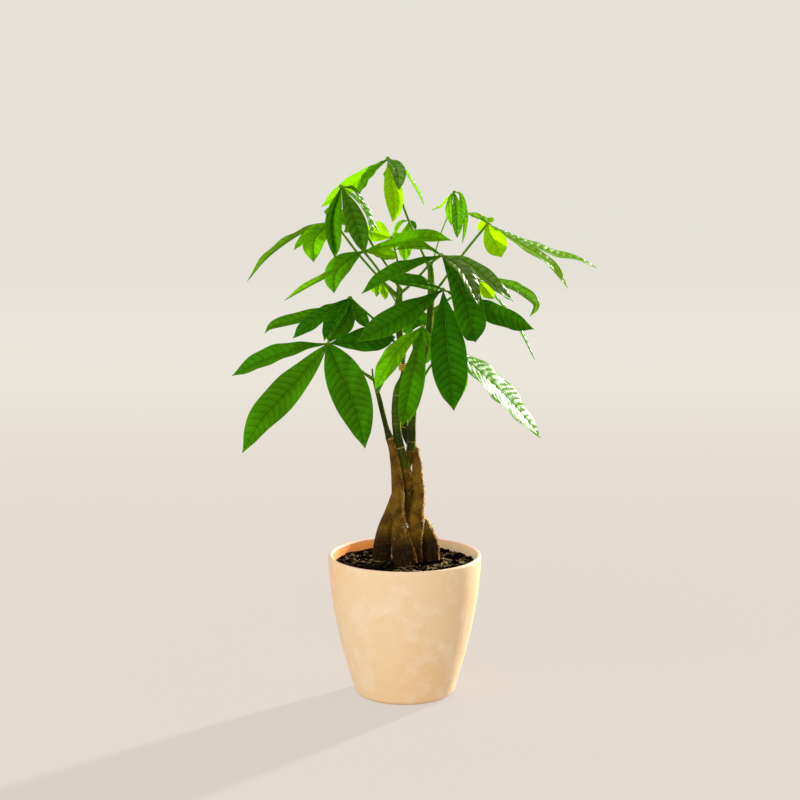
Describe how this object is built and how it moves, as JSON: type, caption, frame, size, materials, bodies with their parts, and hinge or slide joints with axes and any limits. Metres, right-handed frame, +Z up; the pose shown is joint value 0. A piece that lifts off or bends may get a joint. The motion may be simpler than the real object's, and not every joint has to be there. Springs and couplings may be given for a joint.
{
  "type": "potted money tree",
  "caption": "Braided money tree with palm-shaped leaves on long stalks, standing in soil in a tapered round pot.",
  "frame": {"origin": "middle of the pot's flat underside", "axes": "+Z up along the pot's own axis; -Y towards the viewer of the picture; +X to the viewer's right"},
  "size_m": [0.4002, 0.2595, 0.5991],
  "materials": {
    "pot": "smooth cream-apricot clay with a soft satin glaze, faintly mottled",
    "soil": "dark crumbly potting mix with pale wood chips and fibres",
    "trunk": "olive-brown bark, flaky towards the foot, turning to smooth green stem above",
    "tie": "golden-yellow twine, wound",
    "leaf": "waxy dark green leaf with pressed-in veins and a soft gloss",
    "young_leaf": "thin lime-green young leaf, light shines through"
  },
  "bodies": {
    "root": {"pot": "pot", "soil": "soil", "trunk_front": "trunk", "trunk_right": "trunk", "trunk_middle": "trunk", "trunk_left": "trunk", "tie": "tie", "leaf_low_left": "leaf", "leaf_left": "leaf", "leaf_upper_left_back": "leaf", "leaf_upper_left": "leaf", "leaf_top": "leaf", "young_leaf_top": "young_leaf", "leaf_upper_back": "leaf", "leaf_centre_left": "leaf", "young_leaf_centre": "young_leaf", "leaf_centre": "leaf", "leaf_centre_right": "leaf", "leaf_low_front": "leaf", "leaf_low_right": "leaf", "leaf_right_young": "young_leaf", "young_leaf_upper_right": "young_leaf", "leaf_upper_right": "leaf", "leaf_back_high": "leaf", "leaf_back_low": "leaf"}
  },
  "joints": []
}
